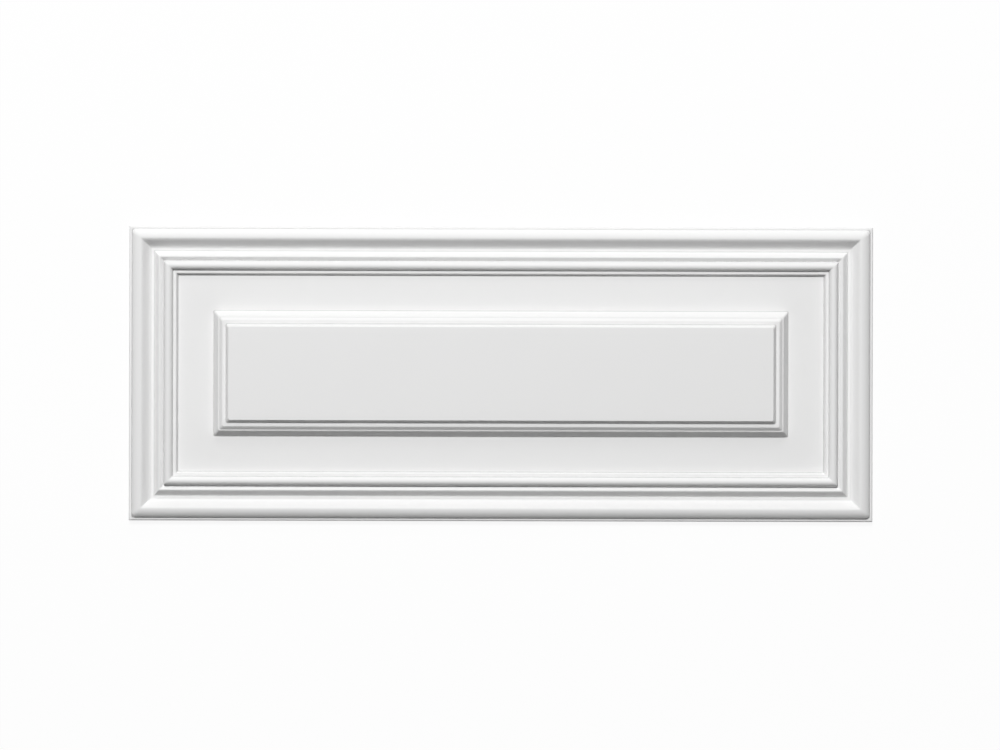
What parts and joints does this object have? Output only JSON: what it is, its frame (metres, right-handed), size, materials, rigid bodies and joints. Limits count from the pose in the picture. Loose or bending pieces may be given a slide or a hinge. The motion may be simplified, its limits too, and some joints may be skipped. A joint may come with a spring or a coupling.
{
  "type": "wall panel",
  "caption": "Moulded raised wall panel: a mitred frame moulding round a sunk field with a stepped raised centre.",
  "frame": {"origin": "centre of the flat back, at the surface that the panel lies on", "axes": "+X along the panel's length, +Y across it, +Z out of its moulded face"},
  "size_m": [0.55, 0.218, 0.017],
  "materials": {
    "primed_foam": "white primer sprayed on the smooth moulded skin of rigid foam, matt to slightly satin"
  },
  "bodies": {
    "root": {"wall_panel": "primed_foam"}
  },
  "joints": []
}
